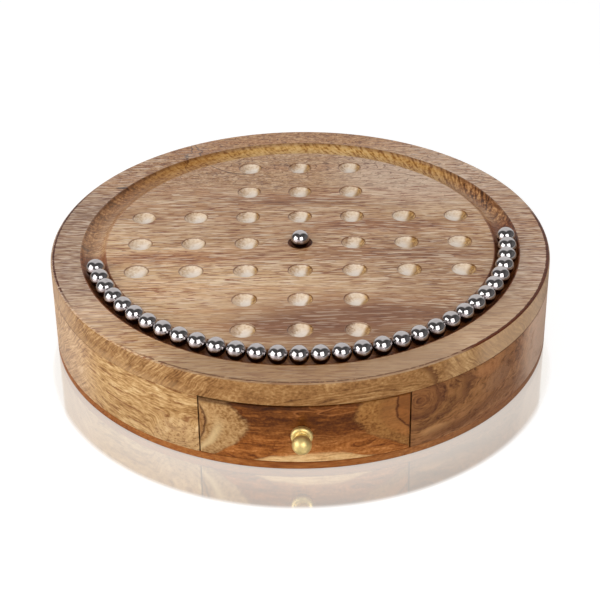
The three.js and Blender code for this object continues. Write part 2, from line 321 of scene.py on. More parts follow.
def pores(wood, place, length, width, seed, start=0.62, end=0.74):
    """Short dark pores that run along the grain, as a share of 0 to 1."""
    dashes = wood.noise((length, width, width), seed, place, detail=1.0)
    return dashes.step(start, end)


def plank_tone(wood, seed):
    """Tone of a plank with its grain along X: fine streaks on top of wider bands."""
    place = wood.bent((90, 40, 40), (0, 3.0, 2.0), seed)
    place = wood.bent((16, 6, 6), (0, 0.5, 0.4), seed + 1, place)
    fibre = wood.noise((11, 1.0, 1.0), seed + 2, place, roughness=0.6)
    streak = wood.noise((34, 3.0, 3.0), seed + 3, place, detail=1.0)
    band = wood.noise((150, 15, 16), seed + 4, place)
    cloud = wood.noise((60, 45, 45), seed + 5, place, detail=1.0)
    tone = 0.5 + fibre.swing(0.95) + streak.swing(0.4) + band.swing(0.5)
    return place, tone + cloud.swing(0.3)


def hairlines(wood):
    """Dark hairlines and a small crack in the back left of the top, as a share."""
    x, y = wood.x, wood.y
    wiggle = wood.noise((9, 7, 9), 14, detail=1.0)
    across = (x + wiggle.swing(12)).line(-61.5, 0.9) * y.between(79, 112, 2)
    second = (x + y * 0.25 + wiggle.swing(9)).line(-31.5, 0.8) * y.between(98, 112, 2)
    arc = y - 75 - (x + 30).squared() * 0.028
    along = arc.line(0, 0.9) * x.between(-48, -30, 3)
    crack = wood.blot((-96, 60.2), (5.0, 1.5))
    return ((across + second + along) * 0.8 + crack).at_most(1.0)


def top_wood_colour(wood):
    """Pale brown hardwood: dashes along X, darker bands, speckles at the back, painted shade at the back
    right.
    """
    x, y = wood.x, wood.y
    place, tone = plank_tone(wood, 1)
    bent_x, bent_y, _ = wood.parts(place)
    speckle = wood.noise((2.2, 1.5, 1.5), 12, roughness=0.7)
    sway = wood.noise(30, 13, detail=1.0)
    back = (y + sway.swing(44) + speckle.swing(16)).step(42, 80) * 0.8
    front = 1 - back
    tone = tone + back * (speckle - tone) * 0.8 + back * (speckle - 0.5) * 1.4
    still = wood.blot((4, -74), (92, 46))
    radius = wood.radius()
    rim = radius.step(GROOVE_EDGE - 2, GROOVE_EDGE)
    tone = tone + (0.5 - tone) * still * 0.45
    colour = tone.ramp(
        0.1, (150, 102, 56), 0.3, (181, 136, 86), 0.5, (209, 169, 124), 0.7, (228, 196, 158),
        0.9, (246, 222, 193))
    rosy = wood.noise((130, 8, 8), 16, place, detail=1.0).step(0.48, 0.6)
    colour = colour.darken(rosy * 0.5, (252, 236, 224))
    # Painted shade: the back and right of the top darker than the front left, where the left lamp falls
    colour = colour.darken((x * 0.5 + y + sway.swing(30)).step(-48, -8), (227, 218, 214))
    brown = wood.blot((-62, -14), (62, 8), bent_x, bent_y)
    for centre, reach in (((38, 17), (52, 9)), ((45, -69), (58, 10)), ((-10, 45), (50, 8)),
                          ((48, -13), (60, 9)), ((4, -78), (54, 12))):
        brown = brown + wood.blot(centre, reach, bent_x, bent_y)
    colour = colour.darken(brown.at_most(1.0) * 0.95, (215, 190, 167))
    # A faint further painted shade at the back right
    colour = colour.darken((x * 0.7 + y).step(30, 75), (255, 252, 244))
    within = radius.step(108, 100)
    fore, near = wood.blot((26, -77), (78, 34)) * within, wood.blot((0, -70), (95, 38)) * within
    colour = colour.darken(fore, (192, 171, 157)).darken(wood.blot((70, -20), (45, 50)), (240, 237, 235))
    colour = colour.darken(near, (242, 238, 236))
    # A lighter blot eases the painted shade at the back right
    colour = colour.mix(wood.blot((66, 76), (60, 50)) * 0.4, (240, 220, 201))

    dashes = pores(wood, place, 12.0, 0.95, 9, 0.585, 0.61) * 0.7
    dashes = dashes + pores(wood, place, 6.0, 0.8, 10, 0.6, 0.63) * 0.7
    dashes = (dashes * (front + back * 0.3) * (1 - still * 0.6)).at_most(1.0)
    colour = colour.darken(dashes, (168, 112, 66))
    pale = pores(wood, place, 12.0, 1.0, 15, 0.57, 0.61) * front * (1 - still * 0.5)
    colour = colour.mix(pale * (0.5 - rim * 0.2), (240, 218, 190))
    curled = wood.bent(7, (2.5, 2.5, 2.5), 17)
    curls = wood.noise((9, 3.4, 3.4), 18, curled, detail=1.0).line(0.5, 0.03) * back
    colour = colour.darken(curls, (136, 94, 62)).darken(hairlines(wood), (86, 50, 28))
    return place, tone, colour, tone - dashes * 0.6


def rim_tint(wood, colour, radius):
    """The rim's own shade: brown in front and at the back, pinkish grey at the right."""
    turn = wood.turn()
    rim = radius.step(GROOVE_MIDDLE, GROOVE_MIDDLE + 6)
    front = rim * turn.between(-0.4, 0.45, 0.3)
    left = rim * turn.between(-1.85, -1.25, 0.3)
    back = rim * turn.abs().step(2.0, 2.7)
    right = rim * turn.between(0.55, 1.9, 0.35)
    near_left = turn.between(-1.3, -0.95, 0.25)
    near_right = turn.between(1.2, 1.4, 0.15)
    calm_right = rim * turn.between(0.3, 1.15, 0.2)
    for share, tint, blend in (
        (front, (213, 208, 196), "MULTIPLY"),
        (left, (208, 201, 200), "MULTIPLY"),
        (back, (253, 242, 226), "MULTIPLY"),
        (rim * (near_left * 0.15 + near_right * 0.2), (240, 220, 202), "MIX"),
        (right, (244, 240, 240), "MULTIPLY"),
        (right * 0.08, (222, 198, 178), "MIX"),
        (calm_right * 0.45, (188, 156, 122), "MIX"),
        (front * 0.45, (164, 129, 96), "MIX"),
        (left * 0.35, (152, 121, 96), "MIX"),
    ):
        colour = colour.mix(share, tint, blend)
    return colour


def make_deck_wood():
    wood = Shader("deck_wood")
    place, tone, colour, height = top_wood_colour(wood)
    radius, turn = wood.radius(), wood.turn()
    colour = rim_tint(wood, colour, radius)
    ragged = wood.noise(2.4, 21, detail=3.0)
    reach = radius - BOARD_RADIUS + TOP_Z - wood.z + ragged.swing(0.9)
    arris = reach.between(-1.9, 0.1, 0.3) * turn.between(0.72, 1.75, 0.14)
    left = turn.between(-1.9, -1.25, 0.25) * ragged.step(0.3, 0.45)
    thin = reach.between(-1.8, -1.0, 0.25) * left
    brow = reach.between(-2.0, -1.3, 0.3) * turn.between(-0.6, 0.72, 0.2)
    edge = (arris + thin + brow * ragged.step(0.32, 0.5) * 0.7).at_most(1.0)
    outer = radius.step(GROOVE_EDGE - 2, GROOVE_EDGE)
    sides = turn.abs().between(1.25, 2.5, 0.4) * 0.7
    strokes = pores(wood, place, 7.0, 0.9, 25, 0.52, 0.6) * outer
    pale = pores(wood, place, 8.0, 0.9, 26, 0.54, 0.6) * outer
    colour = colour.darken(strokes * sides, (172, 120, 78)).mix(pale * sides * 0.6, (240, 218, 196))
    colour = colour.darken(edge, (124, 70, 28))
    return wood.surface(
        colour, 0.42 + tone.swing(0.12), height, Specular_IOR_Level=0.2,
        Coat_Weight=0.28 - edge * 0.28, Coat_Roughness=0.2)


def make_groove_wood():
    """The ball groove: golden at the back, brown on the outer wall of both sides, partly painted shade, and
    a painted shadow along the ball train.
    """
    wood = Shader("groove_wood")
    x, y = wood.x, wood.y
    _, tone, colour, _ = top_wood_colour(wood)
    radius = wood.radius()
    arc = wood.math("ARCTAN2", x, y) * GROOVE_MIDDLE
    strokes = wood.noise((1.3, 6, 1), 31, wood.vector(arc + radius * 0.7, radius, 0))
    outer = radius.step(GROOVE_MIDDLE - 3, GROOVE_MIDDLE + 3)
    sides = (x.abs() - y * 0.35).step(40, 76)
    grit = wood.noise((2.4, 1.1, 1), 32, wood.vector(arc, radius, 0), roughness=0.7)
    grain = 0.5 + strokes.swing(1.1) + tone.swing(0.3) + grit.swing(1.2)
    ribs = wood.noise((1.9, 9, 1), 33, wood.vector(arc + radius * 1.7, radius, 0))
    grain = grain + (ribs - 0.5) * x.step(-5, 25) * y.step(20, 60) * 1.7
    golden = grain.ramp(
        0.25, (152, 104, 48), 0.45, (196, 150, 86), 0.6, (208, 165, 101), 0.8, (220, 183, 124))
    # The brown outer wall at both sides is partly the wood and partly painted shade, where that wall faces
    # away from the lamps
    umber_and_shade = grain.ramp(0.2, (82, 46, 20), 0.42, (134, 86, 44), 0.6, (166, 113, 66), 0.8, (208, 160, 108))
    inner = colour.darken(1.0, (240, 228, 214))
    wall = golden.mix(sides, umber_and_shade)
    level = golden.mix(sides, inner)
    colour = level.mix(outer, wall)
    # Painted shade on the groove towards the back left and back right
    side_shade = x.abs().step(26, 58) * y.step(20, 70)
    colour = colour.darken(side_shade * x.step(10, -10, 0.5, 0.9), (226, 205, 178))
    colour = colour.mix(x.step(-60, -95) * 0.2, (200, 156, 112))
    # Painted shadow of the ball train in the groove, with less coat there
    painted_train_shadow = wood.turn().between(-1.45, 1.75, 0.1)
    lip = radius.step(GROOVE_EDGE - 1.4, GROOVE_EDGE) * y.step(-20, 30)
    colour = colour.darken(painted_train_shadow * 0.8, (176, 122, 84)).darken(lip * 0.55, (132, 92, 58))
    colour = colour.darken(hairlines(wood) * 0.75, (120, 76, 44))
    return wood.surface(
        colour, 0.42, grain, Specular_IOR_Level=0.2,
        Coat_Weight=0.3 - painted_train_shadow * 0.2, Coat_Roughness=0.22)


def make_dimple_wood():
    """Dimples: painted light and shade, a cream patch on the side that faces the middle and speckled brown
    beside it, and a painted shadow round the middle ball.
    """
    wood = Shader("dimple_wood")
    x, y = wood.x, wood.y
    _, tone, colour, height = top_wood_colour(wood)
    local_x = x - wood.math("ROUND", x / HOLE_PITCH) * HOLE_PITCH
    local_y = y - wood.math("ROUND", y / HOLE_PITCH) * HOLE_PITCH
    grit = wood.noise(1.2, 41)
    wander = wood.noise(7, 42, detail=1.0)
    # Painted light and shade: the cream patch lies on the lit side of each dimple, the tan and brown ends on
    # its shaded side
    across = local_x - local_y * 0.3 + wander.swing(4.0) + grit.swing(3.2)
    left_end = x.step(15, 50, -3.2, -6.5) - x.step(-40, -75, 0, 1.2)
    right_end = x.step(-45, -10, 5.5, 3.2) - x.step(20, 60, 0, 1.3)
    left = (across - left_end).step(-2.0, 1.6)
    right = (across - right_end).step(-1.5, 1.0)
    cream = (grit * 0.6 + tone * 0.4).ramp(
        0.25, (196, 162, 128), 0.45, (226, 201, 172), 0.65, (241, 223, 202))
    # Painted highlight in the middle of the cream patch
    glow = wood.blot((0.0, -0.5), (3.8, 5.2), across - (left_end + right_end) * 0.5, local_y)
    cream = cream.mix(glow * 0.7, (250, 240, 230))
    brown = grit.ramp(0.3, (126, 86, 38), 0.5, (166, 124, 68), 0.7, (208, 168, 112))
    # The tan end is painted lighter in the left half, as if lit
    tan = colour.mix(0.25 + x.step(0, -40) * 0.25, cream)
    colour = tan.mix(left, cream).mix(right, brown)
    lip = (TOP_Z - wood.z + grit.swing(0.4)).line(0.25, 0.45)
    # Painted shadow of the ball round the middle dimple, with less coat there
    painted_ball_shadow = wood.radius().step(9, 5)
    colour = colour.darken(lip * 0.85, (148, 104, 66)).darken(painted_ball_shadow, (156, 100, 58))
    return wood.surface(
        colour, 0.42, height, Specular_IOR_Level=0.2,
        Coat_Weight=0.35 - painted_ball_shadow * 0.3, Coat_Roughness=0.22)


def make_band_wood():
    """Side of the top board: slanted strokes at the left, a knot's rings at the right."""
    wood = Shader("band_wood")
    u, v = side_place(wood)
    place = wood.bent((20, 20, 10), (1.5, 1.5, 1.0), 51)
    sway = wood.noise((14, 14, 10), 57, detail=1.0)
    speckle = wood.noise((1.8, 1.8, 1.2), 53, place, roughness=0.6)
    blotch = wood.noise((12, 12, 7), 55, place)
    slanted = wood.vector(u - v * 0.85 + sway.swing(6), v, 0)
    strokes = wood.noise((1.0, 7, 1), 52, slanted, roughness=0.6)
    arch = v + (u - 28).squared() * 0.004 + sway.swing(4)
    streaks = wood.noise((16, 1.1, 1), 54, wood.vector(u, arch, 0))
    falling = wood.vector(u + v * 0.9 + sway.swing(8), v, 0)
    ripples = wood.noise((1.3, 8, 1), 56, falling, roughness=0.6)
    left = u.between(-230, -52, 30)
    lens = u.between(-4, 56, 12) * arch.step(46, 42)
    right = u.between(76, 240, 10)
    plain = (1 - left - lens - right).at_least(0)
    grain = strokes * left * 1.15 + streaks * lens * 1.3 + ripples * right * 1.5 + 0.5 * plain
    level = left * 0.575 + lens * 0.65 + right * 0.75 + plain * 0.5
    tone = 0.5 + (grain - level) * 1.15 + speckle.swing(0.55 + plain * 0.4) + blotch.swing(0.6)
    colour = tone.ramp(
        0.1, (92, 56, 26), 0.3, (130, 88, 46), 0.5, (158, 114, 67), 0.7, (183, 141, 91),
        0.9, (208, 170, 120))
    foot = u.between(-120, -62, 14) * (v + blotch.swing(6)).step(41, 37.5)
    colour = colour.mix(foot * 0.35, (206, 166, 118)).darken(u.between(-60, 66, 24) * 0.6, (238, 228, 212))
    for start, end, soft, share, tint in ((76, 118, 10, 0.3, (184, 146, 102)),
                                          (98, 150, 12, 0.5, (200, 166, 132))):
        colour = colour.mix(u.between(start, end, soft) * share, tint)
    # The pinkish grey at the far sides is partly the wood and partly a painted reflection of the white
    # surroundings at the grazing sides
    grey = u.abs().between(150, 190, 38)
    knot = (length(u - 48, v - 34) + speckle.swing(7)).line(18.0, 3.0) * u.step(42, 56)
    colour = colour.mix(grey * 0.45, (200, 168, 140)).darken(knot * 0.75, (156, 124, 92))
    seam_share = u.step(-110, -140, 0.0, 0.8) + u.step(40, 140, 0.0, 0.7)
    colour = colour.darken(v.step(TOP_LOW.z + 0.6, TOP_LOW.z) * seam_share, (120, 80, 50))
    return wood.surface(colour, 0.5, tone, Specular_IOR_Level=0.2)


def knot_colour(wood, u, v, seed):
    """Ring colours of the knot beside the drawer, drawn out to the right, and their tone."""
    place = wood.bent((15, 15, 9), (2.5, 2.5, 2.5), seed)
    wave = wood.noise((16, 16, 8), seed + 1, detail=3.0)
    across = u - 57
    across = across - (across - 10).at_least(0) * 0.7
    distance = length(across, v - 29) + wave.swing(8)
    along = wood.vector(distance, u * 0.25, v * 0.25)
    fibre = wood.noise((0.9, 1.4, 1.4), seed + 2, along, roughness=0.6)
    blotch = wood.noise((9, 9, 5), seed + 3, place, detail=3.0, roughness=0.6)
    speckle = wood.noise((1.6, 1.6, 1.1), seed + 4, place)
    tone = 0.5 + fibre.swing(1.6) + blotch.swing(0.45) + speckle.swing(0.5)
    rings = ((distance + tone.swing(3.0)) / 40).ramp(
        0.0, (134, 82, 42), 0.14, (150, 98, 54), 0.22, (136, 86, 46), 0.26, (112, 66, 35),
        0.31, (146, 96, 53), 0.37, (156, 106, 60), 0.41, (126, 79, 43), 0.46, (164, 112, 65),
        0.55, (168, 115, 70), 0.64, (148, 98, 60), 0.72, (176, 124, 82), 1.0, (176, 126, 88))
    shade = tone.ramp(
        0.15, (164, 146, 128), 0.4, (218, 212, 204), 0.6, (242, 240, 236), 0.8, (255, 255, 255))
    return rings.darken(1.0, shade), tone


def make_case_wood():
    """Side of the case block: sagging growth lines at the left, a knot at the right."""
    wood = Shader("case_wood")
    u, v = side_place(wood)
    place = wood.bent((26, 26, 14), (2.5, 2.5, 2.2), 61)
    drift = wood.noise((30, 30, 12), 62)
    speckle = wood.noise((1.7, 1.7, 1.1), 65, place, roughness=0.6)
    blotch = wood.noise((20, 20, 9), 66, place)

    lobe = wood.blot((-59, 5), (19, 19), u, v)
    sag = (u + 82).squared() * 0.004 * v.step(36, 4)
    field = v - sag + lobe * 11 + drift.swing(5)
    slanted = wood.vector(u - v * 1.1 + drift.swing(8), v, 0)
    strokes = wood.noise((1.4, 8, 1), 68, slanted, roughness=0.6)
    fibre = wood.noise((1.1, 1, 1), 64, wood.vector(field, u * 0.16, 0), roughness=0.6)
    far = u.step(-112, -128)
    grain = fibre * (1 - far) + strokes * far
    fleck = wood.noise((0.8, 1, 1), 67, wood.vector(field, u * 0.3, 0), roughness=0.6)
    tone = 0.5 + grain.swing(1.2 + far * 0.7) + fleck.swing(0.8) + blotch.swing(0.6)
    tone = tone + speckle.swing(0.3 + lobe.step(0.2, 0.5) * 0.5)
    ring = wood.math("PINGPONG", field + 1.2 + speckle.swing(1.6), 3.3) / 3.3
    broken = wood.noise((9, 9, 4), 63, place)
    lines = ring.step(0.7, 1.0) * broken.step(0.44, 0.54) * (1 - far)
    light = tone.ramp(
        0.1, (124, 83, 42), 0.3, (162, 118, 67), 0.5, (191, 149, 96), 0.7, (211, 173, 120),
        0.9, (228, 197, 149))
    light = light.darken(lines * 0.8, (166, 118, 76))
    patch = lobe.step(0.25, 0.45)
    light = light.mix(patch * 0.45, (204, 166, 118))
    light = light.darken(patch * speckle.step(0.44, 0.36) * 0.6, (176, 130, 88))
    # The pinkish far left is partly the wood and partly a painted reflection of the white surroundings at
    # the grazing side
    rosy = u.step(-104, -135)
    light = light.darken(rosy, (255, 250, 252)).mix(rosy * 0.38, (198, 172, 152))

    brown, brown_tone = knot_colour(wood, u, v, 151)
    for centre, reach, share, tint in (
        ((98, 31), (12, 6), 0.45, (172, 112, 68)),
        ((67, 10), (11, 3.2), 0.7, (196, 144, 92)),
        ((107, 22), (12, 8), 0.35, (146, 108, 80)),
        ((78, 8), (20, 3.6), 0.5, (104, 60, 32)),
        ((114, 11), (30, 4.5), 0.42, (112, 68, 38)),
        ((113, 28), (3.5, 9), 0.25, (118, 84, 60)),
        ((120, 4), (45, 3.5), 0.45, (128, 70, 36)),
    ):
        spot = wood.blot(centre, reach, u + drift.swing(12), v + blotch.swing(5))
        brown = brown.mix(spot * share, tint)
    # The paler far right is partly the wood and partly a painted reflection of the white surroundings at the
    # grazing side
    brown = brown.mix(u.step(118, 146) * 0.65, (224, 192, 168))
    oval = length((u - 162) * 0.72, v - 23) + drift.swing(4) + brown_tone.swing(3)
    worn = broken.step(0.42, 0.58)
    for middle, width, tint in ((15.5, 2.2, (182, 142, 116)), (27.0, 3.4, (164, 124, 100))):
        brown = brown.darken(oval.line(middle, width) * worn * 0.4, tint)

    back = wood.y.step(0, 60)
    plain = wood.noise((12, 12, 1.2), 69, place, roughness=0.6)
    calm = (0.5 + plain.swing(1.4) + speckle.swing(0.7) + blotch.swing(0.5)).ramp(
        0.1, (110, 72, 40), 0.4, (152, 108, 66), 0.6, (178, 136, 90), 0.9, (204, 164, 118))
    colour = light.mix(u.step(-20, 20), brown).mix(back, calm)
    seam = v.step(CASE_HIGH.z - 0.5, CASE_HIGH.z) * u.step(60, 130, 0.2, 0.7)
    colour = colour.darken(seam, (130, 90, 60))
    return wood.surface(colour, 0.5, tone, Specular_IOR_Level=0.2)


def make_drawer_front_wood():
    """Drawer front: a brown heart between pale lobes, where the round face cuts the rings."""
    wood = Shader("drawer_front_wood")
    u, v = side_place(wood)
    waver = wood.noise((14, 14, 9), 71)
    speckle = wood.noise((1.5, 1.5, 1.1), 72, roughness=0.6)
    depth = BOARD_RADIUS + wood.y
    middle = 25.5 + wood.x * 0.08
    field = depth - 2.4 - (v - middle).squared() * 0.0145 + waver.swing(1.4)
    place = wood.bent((12, 12, 6), (3.0, 3.0, 2.5), 75)
    swirl = wood.noise((24, 24, 4.5), 76, place, detail=1.0, distortion=0.3)
    fibre = wood.noise((9, 9, 1.1), 73, place)
    tone = 0.52 + fibre.swing(0.9) + speckle.swing(0.7) + swirl.swing(0.9)
    low = (v + swirl.swing(16)).step(24, 13)
    heart = tone.ramp(
        0.1, (60, 25, 5), 0.35, (86, 43, 10), 0.5, (103, 55, 16), 0.7, (128, 73, 27), 0.9, (158, 98, 46))
    warm = tone.ramp(
        0.1, (82, 38, 8), 0.35, (122, 66, 20), 0.5, (150, 86, 32), 0.7, (178, 110, 52), 0.9, (208, 142, 82))
    heart = heart.mix(low, warm)
    vein = swirl.line(0.53, 0.035) * u.step(-18, 4)
    dark_vein = swirl.line(0.44, 0.02) * low
    heart = heart.mix(vein * 0.4, (196, 126, 70)).darken(dark_vein * 0.6, (150, 96, 60))

    grain = 0.52 + speckle.swing(1.05) + waver.swing(0.5)
    pale = grain.ramp(
        0.1, (100, 60, 26), 0.35, (142, 100, 56), 0.5, (170, 128, 80), 0.7, (190, 150, 100),
        0.9, (210, 173, 124))
    golden = pale.darken(1.0, (228, 204, 170))
    beyond = (field + speckle.swing(2)).step(2.2, 4.0)
    golden = golden.mix(beyond * 0.8, heart).mix(beyond * 0.5, (168, 112, 60))
    right = wood.x.step(-5, 5)
    lobes = pale.mix(right, golden)
    cream = field.line(3.4, 1.3) * v.step(29, 15) * (1 - right)
    lobes = lobes.mix(cream * 0.75, (220, 190, 140)).darken(field.step(5.2, 5.9) * 0.5, (214, 184, 150))
    edge = (field + speckle.swing(0.4)).step(-0.4, 0.3)
    colour = heart.mix(edge, lobes)
    strip = (field + swirl.swing(1.6) + fibre.swing(1.6)).step(-5.6, -6.7)
    streaky = (fibre * 0.7 + speckle * 0.3).ramp(
        0.35, (192, 140, 86), 0.5, (226, 180, 122), 0.65, (242, 204, 148))
    colour = colour.mix(strip, streaky)
    rim = field.line(0.0, 0.5) * 0.25
    outer = (field + speckle.swing(0.6)).line(5.5, 0.4) * 0.8
    colour = colour.darken((rim + outer).at_most(1.0), (112, 66, 34))
    gap = v + waver.swing(3) + speckle.swing(1.0)
    shadow = gap.step(FRONT_HIGH.z - 2.6, FRONT_HIGH.z - 0.9) * u.step(20, -20, 0.15, 1.0)
    colour = colour.darken(shadow * 0.7, (92, 56, 34))
    return wood.surface(colour, 0.5, tone, Specular_IOR_Level=0.15)


def make_base_wood():
    """Base panel: smooth reddish wood with its grain along X."""
    wood = Shader("base_wood")
    place, tone = plank_tone(wood, 81)
    colour = tone.ramp(
        0.1, (104, 52, 18), 0.3, (130, 70, 27), 0.5, (153, 90, 40), 0.7, (172, 108, 53), 0.9, (192, 132, 76))
    dark = pores(wood, place, 6.0, 0.5, 88)
    right = wood.x.step(20, 105) * wood.y.step(20, -20)
    colour = colour.darken(dark * 0.5, (150, 104, 76)).mix(right * 0.6, (150, 108, 78))
    return wood.surface(colour, 0.5, tone - dark, Specular_IOR_Level=0.15)


def make_drawer_wood(name, turn):
    """Pale wood of the drawer's hidden parts. A turn of 1 runs the grain along Y."""
    wood = Shader(name)
    if turn:
        wood.place = wood.vector(wood.y, wood.x, wood.z)
    place, tone = plank_tone(wood, 91 + turn)
    colour = tone.ramp(
        0.0, (160, 120, 80), 0.3, (190, 153, 110), 0.5, (208, 174, 132), 0.75, (222, 192, 152),
        1.0, (236, 212, 178))
    dark = pores(wood, place, 5.0, 0.5, 98)
    colour = colour.darken(dark * 0.4, (170, 130, 92))
    return wood.surface(colour, 0.6, tone - dark, Specular_IOR_Level=0.3)


# Metals

def make_brass():
    metal = Shader("polished_brass")
    cloud = metal.noise(3.0, 101, detail=3.0)
    turned = metal.noise((2.0, 0.12, 2.0), 102, detail=1.0)
    colour = cloud.ramp(0.3, (222, 194, 124), 0.7, (238, 214, 150))
    roughness = 0.48 + cloud.swing(0.12)
    return metal.surface(colour, roughness, turned, 0.01, Metallic=1.0)


def make_ball_steel():
    metal = Shader("polished_steel")
    own = metal.result("ObjectInfo", output="Random") * 80
    place = metal.vector(metal.x + own, metal.y, metal.z)
    film = metal.noise(2.5, 111, place, detail=3.0)
    scratch = metal.noise((0.12, 3.0, 0.6), 112, place)
    colour = film.ramp(0.3, (174, 168, 168), 0.7, (188, 182, 181))
    height = metal.z / BALL_RADIUS
    # Painted reflection: a pale band on the front below the middle, where the ball mirrors the lamp-lit
    # wood, with the roughness raised there
    painted_reflection = metal.blot((0.0, 0.27), (0.58, 0.24), metal.x / BALL_RADIUS + 0.2, height)
    painted_reflection = painted_reflection * metal.y.step(0.5, -0.5) * 0.9
    # Painted shade: the underside darker, where the ball mirrors the shaded seat under it
    foot = (height + film.swing(0.1)).step(0.2, -0.2) * (1 - painted_reflection)
    colour = colour.mix(painted_reflection, (204, 192, 194)).darken(foot, (106, 82, 74))
    roughness = 0.1 + scratch.step(0.55, 0.8) * 0.06 + painted_reflection * 0.36
    return metal.surface(colour, roughness, scratch, 0.0015, Metallic=1.0)


def make_screw_steel():
    metal = Shader("screw_steel")
    film = metal.noise(1.2, 121, detail=3.0)
    colour = film.ramp(0.3, (150, 148, 140), 0.7, (188, 186, 178))
    return metal.surface(colour, 0.32 + film.swing(0.3), film, 0.01, Metallic=1.0)


# Mesh tools

def circle(radius, z, sides, centre=(0.0, 0.0)):
    turns = [2 * math.pi * i / sides for i in range(sides)]
    return [(centre[0] + radius * math.cos(a), centre[1] + radius * math.sin(a), z) for a in turns]


def arc(centre, radius, start, end, steps):
    """Points along a circular arc in a plane, both ends included."""
    turns = [start + (end - start) * i / steps for i in range(steps + 1)]
    return [(centre[0] + radius * math.cos(a), centre[1] + radius * math.sin(a)) for a in turns]


def rounded(outline, radius, steps=3):
    """Rounds each sharp corner of a closed outline."""
    result = []
    for i, corner in enumerate(outline):
        here = Vector(corner)
        back = (Vector(outline[i - 1]) - here).normalized()
        ahead = (Vector(outline[(i + 1) % len(outline)]) - here).normalized()
        if back.dot(ahead) < NEARLY_STRAIGHT:
            result.append(here)
            continue
        first, last = here + back * radius, here + ahead * radius
        for k in range(steps + 1):
            share = k / steps
            result.append(first.lerp(here, share).lerp(here.lerp(last, share), share))
    return [tuple(point) for point in result]


def inset(outline, distance):
    """Moves the sides of a closed anticlockwise outline inwards."""
    points = np.array(outline)
    edges = np.roll(points, -1, axis=0) - points
    normals = np.stack([-edges[:, 1], edges[:, 0]], axis=1)
    normals /= np.linalg.norm(normals, axis=1, keepdims=True)
    mean = normals + np.roll(normals, 1, axis=0)
    return points + mean * (2 * distance / (mean ** 2).sum(axis=1, keepdims=True))


def seat_profile(room_radius, depth, lip, steps):
    """Half section of a round-bottomed seat with a rounded lip, from its middle to the face
    round it, as (distance from the middle, depth below the face)."""
    level = room_radius - depth
    reach = math.sqrt((room_radius + lip) ** 2 - (level + lip) ** 2)
    tilt = math.atan2(reach, level + lip)
    bowl = [tilt * i / steps for i in range(steps + 1)]
    edge = [tilt * (1 - i / 4) for i in range(1, 5)]
    points = [(room_radius * math.sin(a), room_radius * math.cos(a) - level) for a in bowl]
    points += [(reach - lip * math.sin(a), lip - lip * math.cos(a)) for a in edge]
    return points + [(reach + LIP_SUPPORT, 0.0)]


class Shell:
    """One closed body, built from loops of vertices in millimetres."""

    def __init__(self):
        self.mesh = bmesh.new()

    def loop(self, points):
        return [self.mesh.verts.new(point) for point in points]

    def ring(self, radius, z, sides, centre=(0.0, 0.0)):
        return self.loop(circle(radius, z, sides, centre))

    def strip(self, first, second, finish=0):
        """Joins two loops of the same length."""
        for i in range(len(first)):
            corners = (first[i - 1], first[i], second[i], second[i - 1])
            self.mesh.faces.new(corners).material_index = finish

    def strips(self, loops, finish=0):
        for first, second in zip(loops, loops[1:]):
            self.strip(first, second, finish)

    def tip(self, loop, point, finish=0):
        """Closes a loop by triangles that meet in one point."""
        apex = self.mesh.verts.new(point)
        for i in range(len(loop)):
            self.mesh.faces.new((loop[i - 1], loop[i], apex)).material_index = finish

    def flat(self, outer, holes=(), finish=0):
        """Fills the level area inside one loop and outside the loops of its holes."""
        loops = [outer, *holes]
        corners = [vertex for loop in loops for vertex in loop]
        places = np.array([vertex.co[:2] for vertex in corners])
        edges = []
        for loop in loops:
            first = len(edges)
            edges += [(first + i, first + (i + 1) % len(loop)) for i in range(len(loop))]
        result = delaunay_2d_cdt([Vector(point) for point in places], edges, [], 0, 1e-6)
        sources = [source[0] for source in result[3]]
        triangles = np.array([[sources[i] for i in face] for face in result[2]])
        starts = places[[edge[0] for edge in edges]]
        ends = places[[edge[1] for edge in edges]]
        for face in triangles[is_inside(places[triangles].mean(axis=1), starts, ends)]:
            self.mesh.faces.new([corners[i] for i in face]).material_index = finish

    def prism(self, outline, bottom, top, ease):
        """Raises an anticlockwise outline from one level to another, with eased edges."""
        rows = [(ease, bottom), (0.3 * ease, bottom + 0.3 * ease), (0.0, bottom + ease)]
        rows += [(step, bottom + top - level) for step, level in reversed(rows)]
        loops = [self.loop([(*point, z) for point in inset(outline, step)]) for step, z in rows]
        self.strips(loops)
        self.flat(loops[0])
        self.flat(loops[-1])

    def lathe(self, profile, sides):
        """Revolves (radius, height) points, which start and end on the axis."""
        loops = [self.ring(radius, z, sides) for radius, z in profile[1:-1]]
        self.strips(loops)
        self.tip(loops[0], (0, 0, profile[0][1]))
        self.tip(loops[-1], (0, 0, profile[-1][1]))

    def bare(self, name, materials=(), place=None, crease=35):
        """Makes the object, in metres, without telling the frame."""
        bmesh.ops.recalc_face_normals(self.mesh, faces=self.mesh.faces)
        if place is not None:
            self.mesh.transform(place)
        self.mesh.transform(Matrix.Scale(MM, 4))
        for face in self.mesh.faces:
            face.smooth = True
        data = bpy.data.meshes.new(name)
        self.mesh.to_mesh(data)
        self.mesh.free()
        data.set_sharp_from_angle(angle=math.radians(crease))
        for material in materials:
            data.materials.append(material)
        return show(name, data)


def show(name, data):
    """Makes an object of a mesh, lamp or camera and puts it in the scene."""
    shown = bpy.data.objects.new(name, data)
    bpy.context.scene.collection.objects.link(shown)
    return shown


def is_inside(points, starts, ends):
    """Says which points lie inside the closed outlines, by the edges to their right."""
    x, y = points[:, :1], points[:, 1:]
    crosses = (starts[:, 1] > y) != (ends[:, 1] > y)
    rise = ends[:, 1] - starts[:, 1]
    rise[rise == 0] = 1.0
    at = starts[:, 0] + (y - starts[:, 1]) * (ends[:, 0] - starts[:, 0]) / rise
    return (crosses & (x < at)).sum(axis=1) % 2 == 1


